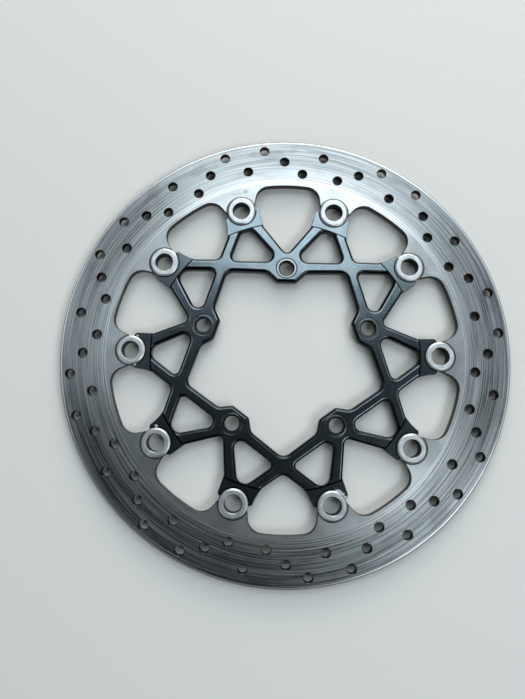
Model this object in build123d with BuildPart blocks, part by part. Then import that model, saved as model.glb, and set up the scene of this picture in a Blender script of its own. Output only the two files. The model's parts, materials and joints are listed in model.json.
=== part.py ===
from build123d import *

import os
from math import cos, radians, sin

# Floating brake disc rotor for a motorcycle front wheel, in millimetres.
#
# The origin is the centre of the hub mounting face. +Z points out of the outboard face, and +Y through the
# first bolt hole. A steel friction band floats on an alloy carrier through ten hollow bobbins, each half in a
# lug of the band and half in an ear of the carrier, and each with a wave washer and a flat washer behind.

# ---- pattern ------------------------------------------------------------------------------------------
BOLT_COUNT = 5
STATION_COUNT = 2 * BOLT_COUNT
BOLT_STEP = 360 / BOLT_COUNT
STATION_STEP = 360 / STATION_COUNT
FIRST_BOLT_ANGLE = 90
FIRST_BOBBIN_ANGLE = FIRST_BOLT_ANGLE - STATION_STEP / 2

# ---- friction band ------------------------------------------------------------------------------------
BAND_OUTER_R = 155.0
BAND_THICKNESS = 5.0
BAND_EDGE_CHAMFER = 0.8
LUG_END_R = 108.2
SCALLOP_R = 121.3
SCALLOP_CORNER_R = 10.0
SCALLOP_FOOT = (23.7, 104.0)
SCALLOP_HEAD = (20.6, 131.3)
SCALLOP_EDGE_CHAMFER = 0.3
TRACK_INNER_R = 124.0
TRACK_OUTER_R = 153.4
TRACK_WEAR = 0.08

# ---- drilled holes: eight radii, repeated round the band ----------------------------------------------
DRILL_R = 3.25
DRILL_CHAMFER = 0.3
DRILL_REPEATS = 8
DRILL_FIRST_ANGLE = 12.35
DRILL_RADII = (134.3, 148.1, 139.4, 130.7, 144.6, 130.7, 139.4, 148.1)

# ---- carrier ------------------------------------------------------------------------------------------
HUB_THICKNESS = 6.0
EAR_THICKNESS = 5.0
EAR_STEP_R = 92.2
EAR_END_R = 105.2
EAR_CORNER_R = 2.5
SPOKE_EDGE_RADIUS = 2.2
REAR_CHAMFER = 0.5
HUB_LAND_R = 72.0
REAR_RELIEF = 0.3
BOLT_CIRCLE_R = 60.0
BOLT_HOLE_R = 5.0
BOLT_HOLE_CHAMFER = 0.7

# Star-shaped centre, in the frame of one bolt hole: boss flat, boss flank, strut, crossing of the struts.
BOSS_FLAT_Y = 50.1
BOSS_FLAT_HALF_WIDTH = 7.0
BOSS_FOOT = (14.0, 56.8)
STAR_TIP_R = 71.0
BOSS_FLAT_RADIUS = 2.6
BOSS_FOOT_RADIUS = 6.0
STAR_TIP_RADIUS = 6.5

# Triangular window beside each bolt hole: foot, far foot and crown, with the corner radii.
WINDOW_FOOT = (4.65, 64.9)
WINDOW_FAR_FOOT = (39.8, 64.9)
WINDOW_CROWN = (30.35, 92.9)
WINDOW_RADII = (4.5, 3.3, 5.9)

# Notch outside each bolt hole, then the notch outside each crossing, both in the frame of their own axis.
BOLT_NOTCH_Y = 70.15
BOLT_NOTCH_RADIUS = 3.15
BOLT_NOTCH_STEP = (16.75, 90.55)
CROSS_NOTCH_Y = 81.4
CROSS_NOTCH_RADIUS = 4.4
CROSS_NOTCH_STEP = (13.6, 90.86)
CROSS_NOTCH_MIDDLE = (17.5, 96.4)
NOTCH_MOUTH = (20.45, 103.2)
NOTCH_BEYOND = (22.5, 112.0)

# ---- bobbins and their washers ------------------------------------------------------------------------
BOBBIN_CIRCLE_R = 106.5
SEAT_R = 7.7
BOBBIN_BODY_R = 7.6
BOBBIN_BORE_R = 6.0
BOBBIN_BORE_CHAMFER = 0.35
FLANGE_R = 10.0
FLANGE_LAND_R = 8.9
FLANGE_EDGE_HEIGHT = 0.45
FLANGE_THICKNESS = 1.1
FLANGE_GAP = 0.05
WAVE_HEIGHT = 0.75
WAVE_THICKNESS = 0.25
WAVE_CLEARANCE = 0.03
WAVE_OUTER_R = 10.0
WASHER_BORE_R = 7.7
FLAT_WASHER_OUTER_R = 10.4
FLAT_WASHER_THICKNESS = 1.0
SWAGE_R = 8.7
SWAGE_THICKNESS = 0.6
SWAGE_CHAMFER = 0.3

os.makedirs("parts", exist_ok=True)


def polar(radius, angle):
    """The point at a radius and an angle in degrees."""
    return (radius * cos(radians(angle)), radius * sin(radians(angle)))


def mirrored(point):
    """The same point on the other side of the Y axis."""
    return (-point[0], point[1])


def save(part, name):
    """Label a finished piece and write it."""
    part.label = name
    export_step(part, f"parts/{name}.step")


def ring_of(count, first_angle):
    """Turns that carry a shape drawn about +Y to count evenly spaced directions."""
    step = 360 / count
    return [Location((0, 0, 0), (0, 0, first_angle - 90 + step * k)) for k in range(count)]


# ---- friction band ------------------------------------------------------------------------------------
with BuildSketch() as scallop_profile:
    with BuildLine():
        Polyline(
            mirrored(SCALLOP_FOOT),
            mirrored(SCALLOP_HEAD),
            SCALLOP_HEAD,
            SCALLOP_FOOT,
            close=True,
        )
    make_face()
    Circle(SCALLOP_R, mode=Mode.INTERSECT)
    fillet(scallop_profile.vertices().group_by(Axis.Y)[-1], radius=SCALLOP_CORNER_R)

with BuildPart() as friction_band:
    with BuildSketch():
        Circle(BAND_OUTER_R)
    extrude(amount=BAND_THICKNESS)
    with BuildSketch():
        Circle(LUG_END_R)
        with Locations(*ring_of(STATION_COUNT, FIRST_BOLT_ANGLE)):
            add(scallop_profile.sketch)
    extrude(amount=BAND_THICKNESS, mode=Mode.SUBTRACT)
    outer_edges = friction_band.edges().filter_by(GeomType.CIRCLE).group_by(SortBy.RADIUS)[-1]
    face_edges = friction_band.edges().filter_by(Plane.XY)
    inner_edges = [edge for edge in face_edges if edge not in outer_edges]
    chamfer(outer_edges, BAND_EDGE_CHAMFER)
    chamfer(inner_edges, SCALLOP_EDGE_CHAMFER)
    # Shallow swept tracks that the pads have worn into both faces.
    with BuildSketch(Plane.XY.offset(BAND_THICKNESS - TRACK_WEAR)):
        Circle(TRACK_OUTER_R)
        Circle(TRACK_INNER_R, mode=Mode.SUBTRACT)
    extrude(amount=BAND_THICKNESS, mode=Mode.SUBTRACT)
    with BuildSketch(Plane.XY.offset(TRACK_WEAR)):
        Circle(TRACK_OUTER_R)
        Circle(TRACK_INNER_R, mode=Mode.SUBTRACT)
    extrude(amount=-BAND_THICKNESS, mode=Mode.SUBTRACT)
    # Half of each bobbin's seat.
    with BuildSketch():
        with PolarLocations(BOBBIN_CIRCLE_R, STATION_COUNT, FIRST_BOBBIN_ANGLE):
            Circle(SEAT_R)
    extrude(amount=BAND_THICKNESS, mode=Mode.SUBTRACT)
    # Drilled holes, each with a small chamfer at both mouths.
    drill_step = 360 / (DRILL_REPEATS * len(DRILL_RADII))
    drill_points = [
        polar(DRILL_RADII[k % len(DRILL_RADII)], DRILL_FIRST_ANGLE + drill_step * k)
        for k in range(DRILL_REPEATS * len(DRILL_RADII))
    ]
    with BuildSketch():
        with Locations(*drill_points):
            Circle(DRILL_R)
    extrude(amount=BAND_THICKNESS, mode=Mode.SUBTRACT)
    drilled = friction_band.edges().filter_by(GeomType.CIRCLE)
    mouths = drilled.filter_by(lambda edge: abs(edge.radius - DRILL_R) < 0.001)
    chamfer(mouths, DRILL_CHAMFER)

save(friction_band.part, "friction_band")

# ---- carrier ------------------------------------------------------------------------------------------
# Everything is drawn about one bolt hole on +Y, mirrored, and carried round the five bolt holes.
star_points = []
for bolt in ring_of(BOLT_COUNT, FIRST_BOLT_ANGLE):
    tip = polar(STAR_TIP_R, 90 - BOLT_STEP / 2)
    half = [tip, BOSS_FOOT, (BOSS_FLAT_HALF_WIDTH, BOSS_FLAT_Y)]
    whole = half + [mirrored(point) for point in reversed(half[1:])]
    star_points += [Vector(*point).rotate(Axis.Z, bolt.orientation.Z) for point in whole]
star_radii = [STAR_TIP_RADIUS, BOSS_FOOT_RADIUS, BOSS_FLAT_RADIUS, BOSS_FLAT_RADIUS, BOSS_FOOT_RADIUS]

with BuildSketch() as star_profile:
    with BuildLine():
        FilletPolyline(*star_points, radius=star_radii * BOLT_COUNT, close=True)
    make_face()

with BuildSketch() as window_profile:
    with BuildLine():
        FilletPolyline(WINDOW_FOOT, WINDOW_FAR_FOOT, WINDOW_CROWN, radius=WINDOW_RADII, close=True)
    make_face()
    mirror(about=Plane.YZ)

with BuildSketch() as bolt_notch_profile:
    with BuildLine():
        Polyline(
            mirrored(NOTCH_BEYOND),
            mirrored(NOTCH_MOUTH),
            mirrored(BOLT_NOTCH_STEP),
            (0, BOLT_NOTCH_Y),
            BOLT_NOTCH_STEP,
            NOTCH_MOUTH,
            NOTCH_BEYOND,
            close=True,
        )
    make_face()
    fillet(bolt_notch_profile.vertices().sort_by(Axis.Y)[0], radius=BOLT_NOTCH_RADIUS)

with BuildSketch() as cross_notch_profile:
    with BuildLine():
        Polyline(mirrored(CROSS_NOTCH_STEP), (0, CROSS_NOTCH_Y), CROSS_NOTCH_STEP)
        ThreePointArc(CROSS_NOTCH_STEP, CROSS_NOTCH_MIDDLE, NOTCH_MOUTH)
        Polyline(NOTCH_MOUTH, NOTCH_BEYOND, mirrored(NOTCH_BEYOND), mirrored(NOTCH_MOUTH))
        ThreePointArc(mirrored(NOTCH_MOUTH), mirrored(CROSS_NOTCH_MIDDLE), mirrored(CROSS_NOTCH_STEP))
    make_face()
    fillet(cross_notch_profile.vertices().sort_by(Axis.Y)[0], radius=CROSS_NOTCH_RADIUS)

with BuildSketch() as carrier_profile:
    Circle(EAR_END_R)
    add(star_profile.sketch, mode=Mode.SUBTRACT)
    with Locations(*ring_of(BOLT_COUNT, FIRST_BOLT_ANGLE)):
        add(window_profile.sketch, mode=Mode.SUBTRACT)
        add(bolt_notch_profile.sketch, mode=Mode.SUBTRACT)
    with Locations(*ring_of(BOLT_COUNT, FIRST_BOLT_ANGLE + BOLT_STEP / 2)):
        add(cross_notch_profile.sketch, mode=Mode.SUBTRACT)
    ear_corners = carrier_profile.vertices().filter_by(lambda v: abs(Vector(v).length - EAR_END_R) < 0.01)
    fillet(ear_corners, radius=EAR_CORNER_R)

with BuildPart() as carrier:
    add(carrier_profile.sketch)
    extrude(amount=HUB_THICKNESS)
    fillet(carrier.faces().sort_by(Axis.Z)[-1].edges(), SPOKE_EDGE_RADIUS)
    chamfer(carrier.faces().sort_by(Axis.Z)[0].edges(), REAR_CHAMFER)
    # The ears are turned down to the band's thickness, which leaves a step across each spoke.
    with BuildSketch(Plane.XY.offset(EAR_THICKNESS)):
        Circle(EAR_END_R + 1)
        Circle(EAR_STEP_R, mode=Mode.SUBTRACT)
    extrude(amount=HUB_THICKNESS, mode=Mode.SUBTRACT)
    # The rear of the spokes is relieved, so that only the hub land and the ears are in the z = 0 plane.
    with BuildSketch():
        Circle(EAR_STEP_R)
        Circle(HUB_LAND_R, mode=Mode.SUBTRACT)
    extrude(amount=REAR_RELIEF, mode=Mode.SUBTRACT)
    # The other half of each bobbin's seat.
    with BuildSketch():
        with PolarLocations(BOBBIN_CIRCLE_R, STATION_COUNT, FIRST_BOBBIN_ANGLE):
            Circle(SEAT_R)
    extrude(amount=HUB_THICKNESS, mode=Mode.SUBTRACT)
    with BuildSketch():
        with PolarLocations(BOLT_CIRCLE_R, BOLT_COUNT, FIRST_BOLT_ANGLE):
            Circle(BOLT_HOLE_R)
    extrude(amount=HUB_THICKNESS, mode=Mode.SUBTRACT)
    full_circles = carrier.edges().filter_by(GeomType.CIRCLE).filter_by(lambda edge: edge.is_closed)
    bolt_mouths = full_circles.filter_by(lambda edge: abs(edge.radius - BOLT_HOLE_R) < 0.001)
    chamfer(bolt_mouths.group_by(Axis.Z)[-1], BOLT_HOLE_CHAMFER)
    chamfer(bolt_mouths.group_by(Axis.Z)[0], REAR_CHAMFER)

save(carrier.part, "carrier")

# ---- bobbins and their washers ------------------------------------------------------------------------
flange_under = BAND_THICKNESS + FLANGE_GAP
flange_top = flange_under + FLANGE_THICKNESS
washer_front = -WAVE_HEIGHT
washer_back = washer_front - FLAT_WASHER_THICKNESS
tail_end = washer_back - SWAGE_THICKNESS
wave_swing = (WAVE_HEIGHT - WAVE_THICKNESS) / 2 - WAVE_CLEARANCE
wave_middle = -WAVE_HEIGHT / 2 - WAVE_THICKNESS / 2
quarter_wave = WAVE_OUTER_R / 4

for station in range(STATION_COUNT):
    number = f"{station + 1:02d}"
    angle = FIRST_BOBBIN_ANGLE - STATION_STEP * station
    centre = Vector(*polar(BOBBIN_CIRCLE_R, angle))
    outward = Vector(*polar(1, angle))
    sideways = Vector(0, 0, 1).cross(outward)
    bobbin_axis = Axis((centre.X, centre.Y, 0), (0, 0, 1))
    upright = Plane(origin=centre, x_dir=outward, z_dir=-sideways)
    flat = Plane(origin=centre, x_dir=outward, z_dir=(0, 0, 1))

    # Flanged hollow button; its tail is swaged out behind the flat washer.
    with BuildPart() as bobbin:
        with BuildSketch(upright):
            with BuildLine():
                Polyline(
                    (BOBBIN_BORE_R, tail_end + BOBBIN_BORE_CHAMFER),
                    (BOBBIN_BORE_R + BOBBIN_BORE_CHAMFER, tail_end),
                    (SWAGE_R - SWAGE_CHAMFER, tail_end),
                    (SWAGE_R, tail_end + SWAGE_CHAMFER),
                    (SWAGE_R, washer_back),
                    (BOBBIN_BODY_R, washer_back),
                    (BOBBIN_BODY_R, flange_under),
                    (FLANGE_R, flange_under),
                    (FLANGE_R, flange_under + FLANGE_EDGE_HEIGHT),
                    (FLANGE_LAND_R, flange_top),
                    (BOBBIN_BORE_R + BOBBIN_BORE_CHAMFER, flange_top),
                    (BOBBIN_BORE_R, flange_top - BOBBIN_BORE_CHAMFER),
                    close=True,
                )
            make_face()
        revolve(axis=bobbin_axis)
    save(bobbin.part, f"bobbin_{number}")

    # Sprung washer: a thin ring cut from a sheet waved across its width.
    with BuildPart() as wave_washer:
        with BuildSketch(upright):
            with BuildLine():
                for half_wave in range(-3, 3):
                    left = 2 * half_wave * quarter_wave
                    swing = wave_swing if half_wave % 2 else -wave_swing
                    for height in (wave_middle, wave_middle + WAVE_THICKNESS):
                        ThreePointArc(
                            (left, height),
                            (left + quarter_wave, height + swing),
                            (left + 2 * quarter_wave, height),
                        )
                for side in (-6 * quarter_wave, 6 * quarter_wave):
                    Line((side, wave_middle), (side, wave_middle + WAVE_THICKNESS))
            make_face()
        extrude(amount=2 * WAVE_OUTER_R, both=True)
        with BuildSketch(flat):
            Circle(WAVE_OUTER_R)
            Circle(WASHER_BORE_R, mode=Mode.SUBTRACT)
        extrude(amount=WAVE_HEIGHT, both=True, mode=Mode.INTERSECT)
    save(wave_washer.part, f"wave_washer_{number}")

    with BuildPart() as flat_washer:
        with BuildSketch(flat.offset(washer_back)):
            Circle(FLAT_WASHER_OUTER_R)
            Circle(WASHER_BORE_R, mode=Mode.SUBTRACT)
        extrude(amount=FLAT_WASHER_THICKNESS)
    save(flat_washer.part, f"flat_washer_{number}")
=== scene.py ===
import json
from math import cos, pi, radians, sin, tan

import bmesh
import bpy
from mathutils import Matrix, Vector


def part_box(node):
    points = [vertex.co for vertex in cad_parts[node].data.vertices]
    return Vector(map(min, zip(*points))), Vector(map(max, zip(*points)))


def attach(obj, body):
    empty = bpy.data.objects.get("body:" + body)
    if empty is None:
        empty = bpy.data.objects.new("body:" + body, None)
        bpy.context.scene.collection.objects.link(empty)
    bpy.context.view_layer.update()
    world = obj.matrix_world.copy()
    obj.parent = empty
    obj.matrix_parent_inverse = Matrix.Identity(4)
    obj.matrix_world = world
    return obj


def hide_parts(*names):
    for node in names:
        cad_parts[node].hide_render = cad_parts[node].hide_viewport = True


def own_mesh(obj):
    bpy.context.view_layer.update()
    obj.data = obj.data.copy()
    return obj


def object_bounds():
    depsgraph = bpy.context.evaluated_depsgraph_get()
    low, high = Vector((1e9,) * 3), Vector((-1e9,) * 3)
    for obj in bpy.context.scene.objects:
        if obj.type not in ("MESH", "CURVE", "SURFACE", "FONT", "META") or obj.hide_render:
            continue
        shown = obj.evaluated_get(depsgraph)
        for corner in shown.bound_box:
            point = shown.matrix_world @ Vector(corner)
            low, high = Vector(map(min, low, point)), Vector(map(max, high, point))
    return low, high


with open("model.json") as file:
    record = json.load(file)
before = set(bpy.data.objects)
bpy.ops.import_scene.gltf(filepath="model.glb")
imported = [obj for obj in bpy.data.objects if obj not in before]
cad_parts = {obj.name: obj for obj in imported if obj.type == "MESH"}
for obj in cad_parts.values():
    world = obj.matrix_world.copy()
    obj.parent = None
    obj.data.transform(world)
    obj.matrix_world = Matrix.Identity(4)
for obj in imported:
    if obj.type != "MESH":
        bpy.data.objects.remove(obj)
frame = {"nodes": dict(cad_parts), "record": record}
cad_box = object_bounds()

# Looks of a floating brake disc: a ground steel band and bright bobbins round a dark alloy carrier, lying on
# a pale floor. Lengths are in metres, so a number times MM is in millimetres. Angles are in degrees.
MM = 0.001

# ---- pattern of the bolts and of the ten stations, each a bobbin with its washers; angles from +X ------
BOLT_COUNT = 5
FIRST_BOLT_ANGLE = 90
STATION_COUNT = 10
STATION_STEP = 36
FIRST_BOBBIN_ANGLE = 72

# ---- sizes from the frame -----------------------------------------------------------------------------
hub_bolts = next(m for m in frame["record"]["mounts"] if m["name"] == "hub_bolts")
bolt_circle_r = hub_bolts["dims"]["pcd_mm"] / 2 * MM
bolt_hole_r = hub_bolts["dims"]["hole_r_mm"] * MM
_, band_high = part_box("friction_band")
_, carrier_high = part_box("carrier")
bobbin_low, bobbin_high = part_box("bobbin_03")
washer_low, washer_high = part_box("flat_washer_03")
wave_low, wave_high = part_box("wave_washer_03")
band_outer_r = band_high.x
bobbin_circle_r = (bobbin_low.x + bobbin_high.x) / 2
flange_r = (bobbin_high.y - bobbin_low.y) / 2
floor_z = cad_box[0].z

# ---- radii that the finishes follow -------------------------------------------------------------------
TRACK_INNER_R = 124.0 * MM
TRACK_SECOND_LINE_R = 125.6 * MM
TRACK_OUTER_R = 153.4 * MM
STREAK_R = 119.6 * MM
EAR_STEP_R = 92.2 * MM
IMPRINT_R = 7.2 * MM
BEVEL_START_R = 8.8 * MM
BEVEL_END_R = 9.3 * MM
BORE_EDGE_R = 6.25 * MM
BORE_WALL_R = 6.05 * MM
WASHER_FACE_R = 10.0 * MM
WASHER_RIM_R = 10.4 * MM

# ---- sections of the turned and stamped parts ---------------------------------------------------------
BORE_R = 6.0 * MM
BORE_CHAMFER = 0.35 * MM
BODY_R = 7.6 * MM
FLANGE_LAND_R = 8.9 * MM
FLANGE_THICKNESS = 1.1 * MM
FLANGE_EDGE_HEIGHT = 0.45 * MM
SWAGE_R = 8.7 * MM
SWAGE_CHAMFER = 0.3 * MM
WAVE_BORE_R = 7.7 * MM
WAVE_STRIP = 0.25 * MM
RING_TURNS = 96
SHARP_ANGLE = 35

# ---- camera: a phone held above the disc, a little towards its lower edge ------------------------------
CAMERA_SENSOR = 36
CAMERA_LENS = 26.06
CAMERA_NEAR = 0.01
CAMERA_PLACE = (-0.01430, -0.04245, 0.35061)
CAMERA_FORWARD = (-0.00388, 0.12827, -0.99173)
CAMERA_UP = (-0.02196, 0.99150, 0.12831)

# ---- studio -------------------------------------------------------------------------------------------
DAYLIGHT = (0.84, 0.95, 1.0)
BLUE_SKY = (0.80, 0.93, 1.0)
WARM_WHITE = (1.0, 0.98, 0.95)
ROOM_COLOUR = (0.70, 0.88, 1.0, 1)
ROOM_STRENGTH = 0.015
BACKDROP_COLOUR = (0.62, 0.64, 0.65, 1)
FLOOR_COLOUR = (0.86, 0.825, 0.785, 1)
FLOOR_ROUGHNESS = 0.8
FLOOR_R = 1.3
FLOOR_CORNERS = 128


def add_object(name, data):
    """Puts a new object in the scene."""
    new = bpy.data.objects.new(name, data)
    bpy.context.scene.collection.objects.link(new)
    return new


# ---- camera, lights and floor -------------------------------------------------------------------------
def make_camera():
    """The photograph's angle and field of view."""
    data = bpy.data.cameras.new("camera")
    data.sensor_width = CAMERA_SENSOR
    data.lens = CAMERA_LENS
    data.clip_start = CAMERA_NEAR
    camera = add_object("camera", data)
    forward = Vector(CAMERA_FORWARD).normalized()
    right = forward.cross(Vector(CAMERA_UP)).normalized()
    up = right.cross(forward)
    turn = Matrix((right, up, -forward)).transposed().to_4x4()
    camera.matrix_world = Matrix.Translation(CAMERA_PLACE) @ turn
    bpy.context.scene.camera = camera


def make_room():
    """A nearly dark room; seen directly, past the edge of the floor, it is as pale as the floor."""
    world = bpy.data.worlds.new("studio")
    world.use_nodes = True
    tree = world.node_tree
    room = tree.nodes["Background"]
    room.inputs["Color"].default_value = ROOM_COLOUR
    room.inputs["Strength"].default_value = ROOM_STRENGTH
    backdrop = tree.nodes.new("ShaderNodeBackground")
    backdrop.inputs["Color"].default_value = BACKDROP_COLOUR
    seen = tree.nodes.new("ShaderNodeLightPath").outputs["Is Camera Ray"]
    mix = tree.nodes.new("ShaderNodeMixShader")
    tree.links.new(seen, mix.inputs[0])
    tree.links.new(room.outputs[0], mix.inputs[1])
    tree.links.new(backdrop.outputs[0], mix.inputs[2])
    tree.links.new(mix.outputs[0], tree.nodes["World Output"].inputs["Surface"])
    bpy.context.scene.world = world
    bpy.context.scene.view_settings.view_transform = "Standard"


def soft_light(name, azimuth, tilt, distance, width, height, power, colour):
    """An oval soft light that faces the disc from an azimuth and a tilt away from straight above."""
    data = bpy.data.lights.new(name, "AREA")
    data.shape = "ELLIPSE"
    data.size = width
    data.size_y = height
    data.energy = power
    data.color = colour
    light = add_object(name, data)
    away = Vector((
        sin(radians(tilt)) * cos(radians(azimuth)),
        sin(radians(tilt)) * sin(radians(azimuth)),
        cos(radians(tilt)),
    ))
    light.location = away * distance
    light.rotation_mode = "QUATERNION"
    light.rotation_quaternion = away.to_track_quat("Z", "Y")


def make_lights():
    """Three overlapping key lights past the disc's top edge, a fill at lower right, weak ones between."""
    soft_light("key_light", 84, 40, 2.0, width=1.45, height=1.9, power=13.5, colour=DAYLIGHT)
    soft_light("key_spill", 76, 44, 2.1, width=2.8, height=2.1, power=8.5, colour=BLUE_SKY)
    soft_light("key_low", 84, 70, 2.2, width=2.4, height=0.8, power=25, colour=WARM_WHITE)
    soft_light("wing_left", 160, 37, 2.0, width=1.1, height=0.9, power=3.4, colour=BLUE_SKY)
    soft_light("wing_right", 13, 46, 2.0, width=1.0, height=0.9, power=3.4, colour=BLUE_SKY)
    soft_light("fill_light", 323, 42, 2.0, width=1.2, height=0.9, power=12.0, colour=DAYLIGHT)
    soft_light("rear_light", 226, 64, 2.0, width=1.6, height=0.8, power=3.6, colour=DAYLIGHT)


def make_floor():
    """A round, plain pale floor under the bobbins' tails."""
    mesh = bpy.data.meshes.new("floor")
    edge = [2 * pi * corner / FLOOR_CORNERS for corner in range(FLOOR_CORNERS)]
    corners = [(FLOOR_R * cos(angle), FLOOR_R * sin(angle), floor_z) for angle in edge]
    mesh.from_pydata(corners, [], [range(FLOOR_CORNERS)])
    floor = add_object("floor", mesh)
    material = bpy.data.materials.new("floor")
    material.use_nodes = True
    shader = material.node_tree.nodes["Principled BSDF"]
    shader.inputs["Base Color"].default_value = FLOOR_COLOUR
    shader.inputs["Roughness"].default_value = FLOOR_ROUGHNESS
    mesh.materials.append(material)


# ---- turned and stamped parts -------------------------------------------------------------------------
def rounded(corners, steps=5):
    """A closed outline through corners given as x, y and rounding radius, with an arc at each corner."""
    outline = []
    for index, (x, y, rounding) in enumerate(corners):
        corner = Vector((x, y))
        back = (Vector(corners[index - 1][:2]) - corner).normalized()
        ahead = (Vector(corners[(index + 1) % len(corners)][:2]) - corner).normalized()
        half_angle = back.angle(ahead) / 2
        reach = rounding / tan(half_angle)
        middle = corner + (back + ahead).normalized() * rounding / sin(half_angle)
        first = corner + back * reach - middle
        last = corner + ahead * reach - middle
        sweep = first.angle_signed(last)
        for step in range(steps + 1):
            turn = -sweep * step / steps
            spoke = Matrix.Rotation(turn, 2) @ first
            outline.append(middle + spoke)
    return outline


def ring(name, outline, centre, material, lift=None):
    """A closed ring swept round an upright axis; lift raises each point by an amount set by its place."""
    lift = lift or (lambda x, y: 0.0)
    points = []
    for turn in range(RING_TURNS):
        angle = 2 * pi * turn / RING_TURNS
        for radius, height in outline:
            x = radius * cos(angle)
            y = radius * sin(angle)
            points.append((centre.x + x, centre.y + y, height + lift(x, y)))
    count = len(outline)
    faces = []
    for turn in range(RING_TURNS):
        here = turn * count
        there = (turn + 1) % RING_TURNS * count
        for i in range(count):
            j = (i + 1) % count
            faces.append((here + i, there + i, there + j, here + j))
    mesh = bpy.data.meshes.new(name)
    mesh.from_pydata(points, [], faces)
    shape = bmesh.new()
    shape.from_mesh(mesh)
    bmesh.ops.recalc_face_normals(shape, faces=shape.faces)
    shape.to_mesh(mesh)
    shape.free()
    mesh.shade_smooth()
    mesh.set_sharp_from_angle(angle=radians(SHARP_ANGLE))
    mesh.materials.append(material)
    return add_object(name, mesh)


def bobbin_outline():
    """Section of a flanged hollow button with its tail swaged out, edges softened as by tumbling."""
    top = bobbin_high.z
    tail = bobbin_low.z
    under_flange = top - FLANGE_THICKNESS
    swage_top = washer_low.z
    bore_edge = 0.10 * MM
    rim_edge = 0.08 * MM
    inner_corner = 0.05 * MM
    bevel_foot = 0.18 * MM
    bevel_top = 0.45 * MM
    return rounded([
        (BORE_R, tail + BORE_CHAMFER, bore_edge),
        (BORE_R + BORE_CHAMFER, tail, bore_edge),
        (SWAGE_R - SWAGE_CHAMFER, tail, rim_edge),
        (SWAGE_R, tail + SWAGE_CHAMFER, rim_edge),
        (SWAGE_R, swage_top, inner_corner),
        (BODY_R, swage_top, inner_corner),
        (BODY_R, under_flange, inner_corner),
        (flange_r, under_flange, rim_edge),
        (flange_r, under_flange + FLANGE_EDGE_HEIGHT, bevel_foot),
        (FLANGE_LAND_R, top, bevel_top),
        (BORE_R + BORE_CHAMFER, top, bore_edge),
        (BORE_R, top - BORE_CHAMFER, bore_edge),
    ])


def make_stations(bobbin_material, wave_material):
    """Bobbins and wave washers at the ten stations, in place of their plainer CAD nodes."""
    section = bobbin_outline()
    wave_r = (wave_high.y - wave_low.y) / 2
    half_wave = wave_r / 2
    swing = (wave_high.z - wave_low.z - WAVE_STRIP) / 2
    back = (wave_high.z + wave_low.z - WAVE_STRIP) / 2
    front = back + WAVE_STRIP
    rolled_edge = 0.06 * MM
    strip = rounded([
        (WAVE_BORE_R, back, rolled_edge),
        (wave_r, back, rolled_edge),
        (wave_r, front, rolled_edge),
        (WAVE_BORE_R, front, rolled_edge),
    ], steps=3)
    for station in range(STATION_COUNT):
        number = f"{station + 1:02d}"
        angle = radians(FIRST_BOBBIN_ANGLE - STATION_STEP * station)
        outward = Vector((cos(angle), sin(angle)))
        centre = outward * bobbin_circle_r

        bobbin = ring(f"turned_bobbin_{number}", section, centre, bobbin_material)
        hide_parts(f"bobbin_{number}")
        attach(bobbin, f"bobbin_{number}")

        def waved(x, y):
            """Parabolic crests and troughs, one after the other along the station's outward line."""
            along = (x * outward.x + y * outward.y) / half_wave
            which = int(along // 1)
            rise = 4 * (along - which) * (1 - along + which) * swing
            return rise if which % 2 else -rise

        wave = ring(f"sprung_washer_{number}", strip, centre, wave_material, lift=waved)
        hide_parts(f"wave_washer_{number}")
        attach(wave, f"bobbin_{number}")
        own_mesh(wave)


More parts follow.
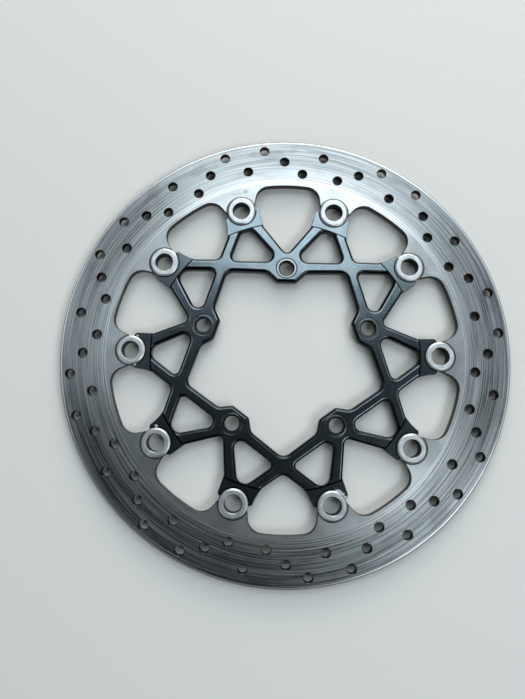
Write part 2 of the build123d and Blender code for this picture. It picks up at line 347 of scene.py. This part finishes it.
# ---- material graphs ----------------------------------------------------------------------------------
class Graph:
    """One material's node tree, with a short call for each kind of node that the materials use."""

    def __init__(self, name):
        self.material = bpy.data.materials.new(name)
        self.material.use_nodes = True
        self.tree = self.material.node_tree
        self.shader = self.tree.nodes["Principled BSDF"]
        self.point = self.tree.nodes.new("ShaderNodeTexCoord").outputs["Object"]
        self.x, self.y, self.z = self.split(self.point)

    def put(self, socket, value):
        """Links another node's output to a socket, or sets the socket to a constant."""
        if isinstance(value, bpy.types.NodeSocket):
            self.tree.links.new(value, socket)
        else:
            socket.default_value = value

    def split(self, vector):
        node = self.tree.nodes.new("ShaderNodeSeparateXYZ")
        self.put(node.inputs[0], vector)
        return node.outputs

    def join(self, x, y, z):
        node = self.tree.nodes.new("ShaderNodeCombineXYZ")
        for socket, value in zip(node.inputs, (x, y, z)):
            self.put(socket, value)
        return node.outputs[0]

    def math(self, operation, *values, clamp=False):
        node = self.tree.nodes.new("ShaderNodeMath")
        node.operation = operation
        node.use_clamp = clamp
        for socket, value in zip(node.inputs, values):
            self.put(socket, value)
        return node.outputs[0]

    def add(self, first, second, clamp=False):
        return self.math("ADD", first, second, clamp=clamp)

    def subtract(self, first, second):
        return self.math("SUBTRACT", first, second)

    def product(self, *values):
        result = values[0]
        for value in values[1:]:
            result = self.math("MULTIPLY", result, value)
        return result

    def larger(self, first, second):
        return self.math("MAXIMUM", first, second)

    def noise(self, vector, scale=1.0, detail=2.0):
        node = self.tree.nodes.new("ShaderNodeTexNoise")
        self.put(node.inputs["Vector"], vector)
        node.inputs["Scale"].default_value = scale
        node.inputs["Detail"].default_value = detail
        return node.outputs["Fac"]

    def step(self, value, low, high):
        """0 below low, 1 above high and smooth between; low may be the larger, for 1 below and 0 above."""
        node = self.tree.nodes.new("ShaderNodeMapRange")
        node.interpolation_type = "SMOOTHSTEP"
        self.put(node.inputs["Value"], value)
        if low > high:
            low, high = high, low
            node.inputs["To Min"].default_value = 1
            node.inputs["To Max"].default_value = 0
        node.inputs["From Min"].default_value = low
        node.inputs["From Max"].default_value = high
        return node.outputs["Result"]

    def hump(self, value, centre, width):
        """1 near the centre, falling to 0 at width either side."""
        off = self.math("ABSOLUTE", self.subtract(value, centre))
        return self.step(off, width, width * 0.3)

    def range(self, factor, low, high):
        """A number from low, where factor is 0, to high, where it is 1."""
        node = self.tree.nodes.new("ShaderNodeMapRange")
        self.put(node.inputs["Value"], factor)
        self.put(node.inputs["To Min"], low)
        self.put(node.inputs["To Max"], high)
        return node.outputs["Result"]

    def blend(self, factor, first, second):
        """The colour first where factor is 0, second where it is 1."""
        node = self.tree.nodes.new("ShaderNodeMix")
        node.data_type = "RGBA"
        # Sockets of other data types have the same names, so the colour ones are reached by number.
        self.put(node.inputs[0], factor)
        self.put(node.inputs[6], first)
        self.put(node.inputs[7], second)
        return node.outputs[2]

    def lay(self, under, over, mask, strength):
        """The colour over laid on the colour under, at the given strength where the mask is 1."""
        return self.blend(self.product(mask, strength), under, over)

    def bump(self, height, distance, strength):
        """Relief of the given depth, on top of any relief already there."""
        node = self.tree.nodes.new("ShaderNodeBump")
        node.inputs["Strength"].default_value = strength
        node.inputs["Distance"].default_value = distance
        self.put(node.inputs["Height"], height)
        normal = self.shader.inputs["Normal"]
        if normal.is_linked:
            self.put(node.inputs["Normal"], normal.links[0].from_socket)
        self.put(normal, node.outputs["Normal"])

    def levelness(self):
        """1 on a level face, 0 on an upright wall."""
        normal = self.tree.nodes.new("ShaderNodeNewGeometry").outputs["Normal"]
        return self.math("ABSOLUTE", self.split(normal)[2])

    def radius(self, x, y):
        return self.math("SQRT", self.add(self.product(x, x), self.product(y, y)))

    def folded(self, count, first_angle, circle_r):
        """x and y about the nearest of count points spaced evenly round a circle, x pointing outward."""
        step = 2 * pi / count
        angle = self.math("ARCTAN2", self.y, self.x)
        turned = self.subtract(angle, radians(first_angle))
        local = self.math("WRAP", turned, step / 2, -step / 2)
        radius = self.radius(self.x, self.y)
        outward = self.subtract(self.product(radius, self.math("COSINE", local)), circle_r)
        return outward, self.product(radius, self.math("SINE", local))

    def from_bobbin(self):
        """x and y about the nearest bobbin's axis."""
        return self.folded(STATION_COUNT, FIRST_BOBBIN_ANGLE, bobbin_circle_r)

    def turned_lines(self, x, y, radius, pitch, length, detail):
        """Noise drawn out round a circle: lines about a pitch wide, shorter where length is larger."""
        # The direction of x, y goes in as two numbers from -1 to 1, so that the noise has no seam.
        u = self.math("DIVIDE", x, radius)
        v = self.math("DIVIDE", y, radius)
        lengthways = (self.product(u, length), self.product(v, length))
        return self.noise(self.join(self.product(radius, 1 / pitch), *lengthways), detail=detail)

    def patch(self, x, y, size, ragged=0.45):
        """A ragged spot of about the given radius round a point."""
        spot = self.radius(self.subtract(self.x, x), self.subtract(self.y, y))
        edge = self.subtract(self.noise(self.point, scale=700, detail=3), 0.5)
        spot = self.add(spot, self.product(edge, size * ragged * 8))
        return self.step(spot, size, size * 0.75)

    def contact(self):
        """The dark line of dirt and painted shadow where each bobbin's flange sits."""
        return self.step(self.radius(*self.from_bobbin()), flange_r + 1.1 * MM, flange_r + 0.6 * MM)

    def spin(self, amount):
        """Reflections drawn out across the turning marks."""
        tangent = self.tree.nodes.new("ShaderNodeTangent")
        tangent.direction_type = "RADIAL"
        tangent.axis = "Z"
        self.put(self.shader.inputs["Tangent"], tangent.outputs[0])
        self.shader.inputs["Anisotropic"].default_value = amount
        self.shader.inputs["Anisotropic Rotation"].default_value = 0.25

    def finish(self, colour, roughness):
        """The material, which reflects as metal; the carrier's satin coat does too."""
        self.put(self.shader.inputs["Base Color"], colour)
        self.put(self.shader.inputs["Roughness"], roughness)
        self.shader.inputs["Metallic"].default_value = 1.0
        return self.material


# ---- rotor steel --------------------------------------------------------------------------------------
PAD_RING_PITCH = 1.7 * MM
STREAK_PATCH = (-35.5 * MM, 114.2 * MM, 6.5 * MM)
BLOT_PATCH = (-30.0 * MM, 115.8 * MM, 1.7 * MM)
LUG_DULL = (0.50, 0.515, 0.52, 1)
LUG_BRIGHT = (0.71, 0.725, 0.73, 1)
LUG_SPECKLE = (0.40, 0.41, 0.415, 1)
INNER_TRACK_DARK = (0.38, 0.39, 0.395, 1)
INNER_TRACK_PALE = (0.62, 0.63, 0.635, 1)
OUTER_TRACK_DARK = (0.22, 0.23, 0.235, 1)
OUTER_TRACK_PALE = (0.42, 0.43, 0.435, 1)
FRESHLY_CUT = (0.76, 0.77, 0.775, 1)
GLAZED_GROOVE = (0.17, 0.175, 0.18, 1)
PAD_SMOKE = (0.15, 0.155, 0.16, 1)
TRACK_EDGE_LINE = (0.95, 0.955, 0.96, 1)
DRIED_STREAK = (0.22, 0.235, 0.24, 1)
BAND_DIRT_AND_SHADOW = (0.012, 0.013, 0.014, 1)
WALL_SHADE_DARK = (0.030, 0.027, 0.025, 1)
WALL_SHADE_BROWN = (0.075, 0.068, 0.062, 1)
RIM_REFLECTION_BROWN = (0.20, 0.18, 0.16, 1)


def swept_track(g, radius, cloud):
    """What the pads leave: the track's colour, its fine lines, and how much rougher they make it."""
    # Grooves and smoke grow stronger towards the outer edge.
    outer = g.step(radius, 127 * MM, 146 * MM)
    fine_noise = g.turned_lines(g.x, g.y, radius, pitch=0.6 * MM, length=1.9, detail=4.0)
    broad_noise = g.turned_lines(g.x, g.y, radius, pitch=0.72 * MM, length=1.1, detail=5.0)
    # x and y change places, so that the pale lines lie elsewhere than the fine ones.
    pale_noise = g.turned_lines(g.y, g.x, radius, pitch=0.8 * MM, length=1.7, detail=4.0)
    smoke_noise = g.turned_lines(g.x, g.y, radius, pitch=9 * MM, length=5, detail=6)

    fine = g.step(fine_noise, 0.39, 0.61)
    pale = g.step(pale_noise, 0.55, 0.66)
    clouded = g.range(g.step(cloud, 0.4, 0.6), 0.5, 1.0)
    grooves = g.product(g.step(broad_noise, 0.53, 0.64), g.range(outer, 0.2, 0.65), clouded)
    scratched = g.range(g.step(fine_noise, 0.40, 0.60), 1.0, 0.6)
    smoke = g.product(g.step(smoke_noise, 0.50, 0.66), g.range(outer, 0.3, 1.0), scratched)

    # The track is paler along its inner edge, which the pads press less.
    outward = g.step(radius, 125 * MM, 143 * MM)
    between_lines = g.blend(outward, INNER_TRACK_DARK, OUTER_TRACK_DARK)
    on_lines = g.blend(outward, INNER_TRACK_PALE, OUTER_TRACK_PALE)
    colour = g.blend(fine, between_lines, on_lines)
    colour = g.lay(colour, FRESHLY_CUT, pale, 0.35)
    colour = g.lay(colour, GLAZED_GROOVE, grooves, 0.55)
    colour = g.lay(colour, PAD_SMOKE, smoke, 0.65)

    # The pale lines are freshly cut and rougher; the dark ones between them are glazed.
    rougher = g.add(g.product(fine, 0.06), g.product(pale, 0.06))
    rougher = g.subtract(rougher, g.product(grooves, 0.05))
    # Pads leave even rings, which waver a little.
    rings = g.add(g.product(radius, 2 * pi / PAD_RING_PITCH), g.product(cloud, 9))
    rings = g.step(g.math("SINE", rings), -0.3, 0.9)
    rougher = g.add(rougher, g.product(rings, 0.055))
    return colour, fine, rougher


def dried_streak(g, radius):
    """Mask of an old mark on one lug: a wavering line that ends in a blot."""
    waver = g.product(g.subtract(g.noise(g.point, scale=160), 0.5), 9 * MM)
    streak = g.hump(g.add(radius, waver), STREAK_R, 0.7 * MM)
    streak = g.product(streak, g.patch(*STREAK_PATCH, ragged=0.1))
    return g.larger(streak, g.patch(*BLOT_PATCH))


def rotor_steel():
    """Ground stainless: matte lugs, a pad-worn track with long fine grooves and smoky patches."""
    g = Graph("rotor_steel")
    radius = g.radius(g.x, g.y)
    speckle = g.noise(g.point, scale=900, detail=3)
    cloud = g.noise(g.point, scale=45, detail=4)
    track = g.product(
        g.step(radius, TRACK_INNER_R - 0.4 * MM, TRACK_INNER_R + 0.4 * MM),
        g.step(radius, TRACK_OUTER_R + 0.3 * MM, TRACK_OUTER_R - 0.3 * MM),
    )
    lug = g.blend(g.step(cloud, 0.35, 0.65), LUG_DULL, LUG_BRIGHT)
    lug = g.lay(lug, LUG_SPECKLE, speckle, 0.25)
    swept, fine, rougher = swept_track(g, radius, cloud)
    colour = g.blend(track, lug, swept)

    # Bright lines where the track begins and ends.
    lines = g.add(g.hump(radius, TRACK_INNER_R, 0.5 * MM), g.hump(radius, TRACK_SECOND_LINE_R, 0.4 * MM))
    lines = g.add(lines, g.hump(radius, TRACK_OUTER_R + 0.3 * MM, 0.5 * MM), clamp=True)
    colour = g.lay(colour, TRACK_EDGE_LINE, lines, 0.85)
    colour = g.lay(colour, DRIED_STREAK, dried_streak(g, radius), 0.6)
    # Dark ring round each flange: dirt with painted shadow.
    colour = g.lay(colour, BAND_DIRT_AND_SHADOW, g.contact(), 0.9)

    # Walls of the holes and scallops are painted dark, speckled with brown: painted shade with a painted
    # reflection of a brown floor; the rim's chamfer is painted paler, as a painted reflection too.
    rim = g.step(radius, band_outer_r - 1.2 * MM, band_outer_r - 0.8 * MM)
    wall = g.blend(speckle, WALL_SHADE_DARK, WALL_SHADE_BROWN)
    wall = g.blend(rim, wall, RIM_REFLECTION_BROWN)
    colour = g.blend(g.step(g.levelness(), 0.80, 0.98), wall, colour)

    roughness = g.add(g.range(track, 0.35, 0.265), g.product(rougher, track), clamp=True)
    g.bump(g.add(g.product(fine, track), g.product(speckle, 0.2)), 0.016 * MM, 0.6)
    g.spin(0.45)
    return g.finish(colour, roughness)


# ---- carrier finish -----------------------------------------------------------------------------------
COAT_DARK = (0.205, 0.245, 0.27, 1)
COAT_PALE = (0.25, 0.295, 0.325, 1)
STEP_EDGE_HIGHLIGHT = (0.29, 0.335, 0.365, 1)
STEP_FOOT_SHADOW = (0.006, 0.007, 0.008, 1)
PRESSED_RING = (0.38, 0.40, 0.41, 1)
BARE_CHAMFER = (0.42, 0.43, 0.44, 1)
RING_OUTLINE = (0.015, 0.017, 0.019, 1)
WALL_AND_EDGE_SHADE = (0.018, 0.020, 0.022, 1)
CARRIER_DIRT_AND_SHADOW = (0.008, 0.009, 0.010, 1)
BARE_ALLOY = (0.80, 0.81, 0.82, 1)

# Finish knocked off the ears beside three of the bobbins: x, y and radius of each spot, in millimetres.
CHIPS = (
    (36.4, -91.8, 2.0), (39.4, -93.7, 1.3), (41.6, -95.2, 0.9),
    (-86.4, -51.6, 1.0),
    (-102.1, 9.8, 0.7), (-103.2, -10.2, 0.8),
)


def knocked_off(g):
    """Mask of the chips."""
    first, *others = [g.patch(x * MM, y * MM, size * MM) for x, y, size in CHIPS]
    chips = first
    for other in others:
        chips = g.larger(chips, other)
    return chips


def carrier_finish():
    """Satin black finish on a cast and machined alloy: fine texture, turned ears, bolt-head imprints."""
    g = Graph("carrier_finish")
    radius = g.radius(g.x, g.y)
    mottle = g.noise(g.point, scale=120, detail=4)
    grain = g.noise(g.point, scale=1500, detail=3)
    colour = g.blend(g.step(mottle, 0.35, 0.65), COAT_DARK, COAT_PALE)

    # At the turned step: a painted shadow as a thin dark line at its foot, and a painted highlight as a
    # paler line along its edge.
    colour = g.blend(g.hump(radius, EAR_STEP_R - 0.7 * MM, 0.45 * MM), colour, STEP_EDGE_HIGHLIGHT)
    colour = g.blend(g.hump(radius, EAR_STEP_R + 0.5 * MM, 0.95 * MM), colour, STEP_FOOT_SHADOW)

    # Bolt holes: a pressed ring where the bolt head sat, the hole's bare chamfer, the ring's dark outline.
    from_bolt = g.radius(*g.folded(BOLT_COUNT, FIRST_BOLT_ANGLE, bolt_circle_r))
    top = g.step(g.z, carrier_high.z - 1.2 * MM, carrier_high.z - 0.9 * MM)
    pressed = g.product(g.step(from_bolt, IMPRINT_R, IMPRINT_R - 0.4 * MM), top)
    bare = g.product(g.hump(from_bolt, bolt_hole_r + 0.7 * MM, 0.5 * MM), top)
    outline = g.product(g.hump(from_bolt, IMPRINT_R, 0.5 * MM), top)
    colour = g.lay(colour, PRESSED_RING, pressed, 0.5)
    colour = g.lay(colour, BARE_CHAMFER, bare, 0.7)
    colour = g.lay(colour, RING_OUTLINE, outline, 0.85)

    # Steep walls and the sloping parts of the rounded edges are painted nearly black: painted shade that
    # also dims their reflections.
    colour = g.lay(colour, WALL_AND_EDGE_SHADE, g.step(g.levelness(), 0.9993, 0.945), 0.95)
    # Dark ring round each flange: dirt with painted shadow.
    colour = g.lay(colour, CARRIER_DIRT_AND_SHADOW, g.contact(), 0.9)
    chips = knocked_off(g)
    colour = g.blend(chips, colour, BARE_ALLOY)

    roughness = g.range(chips, g.range(grain, 0.18, 0.25), 0.45)
    g.bump(g.add(grain, g.product(mottle, 0.5)), 0.005 * MM, 0.5)
    g.bump(g.add(outline, g.product(chips, -1)), -0.07 * MM, 0.8)
    return g.finish(colour, roughness)


# ---- bobbin, spring and washer steels -----------------------------------------------------------------
PLATED_DARK = (0.56, 0.57, 0.58, 1)
PLATED_PALE = (0.82, 0.83, 0.84, 1)
PLATED_STAIN = (0.46, 0.46, 0.455, 1)
PLATED_BEVEL = (0.36, 0.37, 0.38, 1)
BORE_SHADE = (0.022, 0.020, 0.019, 1)
STRIP_DARK = (0.30, 0.29, 0.27, 1)
STRIP_PALE = (0.46, 0.44, 0.40, 1)
ZINC_DARK = (0.48, 0.49, 0.50, 1)
ZINC_PALE = (0.70, 0.71, 0.72, 1)
ZINC_RIM = (0.30, 0.29, 0.28, 1)


def bobbin_steel():
    """Bright plated steel, turned: fine lines round each bobbin's own axis."""
    g = Graph("bobbin_steel")
    x, y = g.from_bobbin()
    radius = g.radius(x, y)
    lines = g.turned_lines(x, y, radius, pitch=0.7 * MM, length=1.2, detail=4.0)
    stain = g.noise(g.point, scale=260, detail=4)
    colour = g.blend(g.step(lines, 0.38, 0.62), PLATED_DARK, PLATED_PALE)
    colour = g.lay(colour, PLATED_STAIN, g.step(stain, 0.5, 0.7), 0.45)
    # The bevel is duller than the face; the bore is painted nearly black, as painted shade.
    colour = g.lay(colour, PLATED_BEVEL, g.step(radius, BEVEL_START_R, BEVEL_END_R), 0.4)
    colour = g.lay(colour, BORE_SHADE, g.step(radius, BORE_EDGE_R, BORE_WALL_R), 0.95)
    g.bump(lines, 0.012 * MM, 0.5)
    return g.finish(colour, g.range(lines, 0.41, 0.49))


def spring_steel():
    """Cold-rolled strip, dark and a little oily."""
    g = Graph("spring_steel")
    rolled = g.noise(g.join(g.product(g.x, 4000), g.product(g.y, 300), g.product(g.z, 300)), detail=3)
    tint = g.noise(g.point, scale=180, detail=3)
    colour = g.blend(tint, STRIP_DARK, STRIP_PALE)
    g.bump(rolled, 0.01 * MM, 0.5)
    return g.finish(colour, g.range(rolled, 0.26, 0.40))


def washer_steel():
    """Zinc-plated stamping: faint spangle and a duller rim."""
    g = Graph("washer_steel")
    radius = g.radius(*g.from_bobbin())
    spangle = g.noise(g.point, scale=700, detail=4)
    colour = g.blend(spangle, ZINC_DARK, ZINC_PALE)
    colour = g.lay(colour, ZINC_RIM, g.step(radius, WASHER_FACE_R, WASHER_RIM_R), 0.5)
    g.bump(spangle, 0.01 * MM, 0.4)
    return g.finish(colour, g.range(spangle, 0.34, 0.5))


def dress_frame(finishes):
    """Gives each CAD node the finish of its slot."""
    slots = {entry["node"]: entry["material_slot"] for entry in frame["record"]["subparts"]}
    for name, node in frame["nodes"].items():
        node.data.materials.clear()
        node.data.materials.append(finishes[slots[name]])


# ---- the scene ----------------------------------------------------------------------------------------
make_camera()
make_room()
make_lights()
make_floor()
finishes = {
    "rotor_steel": rotor_steel(),
    "carrier_finish": carrier_finish(),
    "bobbin_steel": bobbin_steel(),
    "spring_steel": spring_steel(),
    "washer_steel": washer_steel(),
}
dress_frame(finishes)
make_stations(finishes["bobbin_steel"], finishes["spring_steel"])
